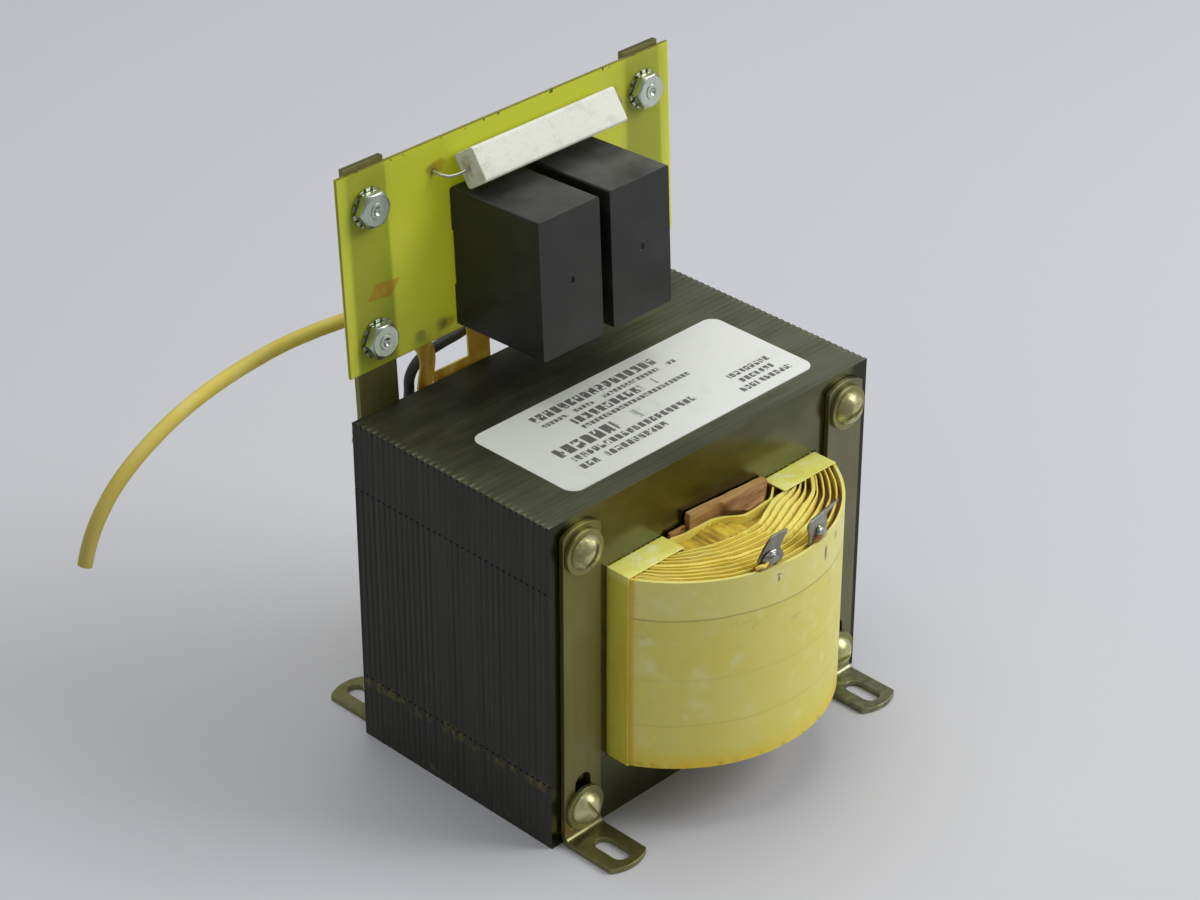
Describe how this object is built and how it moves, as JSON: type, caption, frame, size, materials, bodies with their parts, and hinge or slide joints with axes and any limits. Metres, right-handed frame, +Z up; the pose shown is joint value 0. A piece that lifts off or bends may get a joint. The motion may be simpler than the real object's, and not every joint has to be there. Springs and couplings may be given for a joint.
{
  "type": "transformer",
  "caption": "Open-frame power transformer: interleaved steel laminations, layer-wound coil, clamp straps with slotted feet, and a rear board with capacitors, resistor and leads.",
  "frame": {"origin": "middle of the core's underside, on the plane that the feet stand on", "axes": "+X to the right along the coil's front, -Y out of the front, +Z up"},
  "size_m": [0.184, 0.1238, 0.1626],
  "materials": {
    "core_steel": "dark varnished steel laminations",
    "paper": "varnished insulating paper",
    "copper": "enamelled copper wire",
    "wrap": "pale yellow varnished tape",
    "wood": "bare hardwood stick",
    "tin": "tinned metal and solder",
    "yellow_zinc": "dull yellow zinc plate",
    "bright_zinc": "bright zinc plate",
    "board": "translucent glass-fibre laminate",
    "black_case": "satin black moulded case",
    "cement": "chalky white ceramic",
    "black_sleeve": "black sleeve",
    "amber": "varnished amber film",
    "label": "white printed film",
    "yellow_sleeve": "ochre yellow insulation"
  },
  "bodies": {
    "root": {"e_laminations": "core_steel", "i_laminations": "core_steel", "coil_former": "paper", "winding_barrier": "paper", "crinkled_filler": "paper", "layer_papers": "paper", "margin_strips": "paper", "inner_winding": "copper", "outer_winding": "copper", "outer_wrap": "wrap", "left_corner_tape": "wrap", "right_corner_tape": "wrap", "wood_wedge": "wood", "wood_shim": "wood", "left_terminal": "tin", "right_terminal": "tin", "capacitor_pins": "tin", "resistor_wires": "tin", "solder_joints": "tin", "front_left_strap": "yellow_zinc", "front_right_strap": "yellow_zinc", "rear_left_strap": "yellow_zinc", "rear_right_strap": "yellow_zinc", "core_bolts": "yellow_zinc", "bolt_washers": "yellow_zinc", "lock_washers": "bright_zinc", "core_nuts": "bright_zinc", "board_screws": "bright_zinc", "toothed_washers": "bright_zinc", "board_nuts": "bright_zinc", "circuit_board": "board", "left_capacitor": "black_case", "right_capacitor": "black_case", "resistor": "cement", "black_lead": "black_sleeve", "left_amber_strip": "amber", "folded_amber_strip": "amber", "label": "label", "yellow_lead": "yellow_sleeve"}
  },
  "joints": []
}
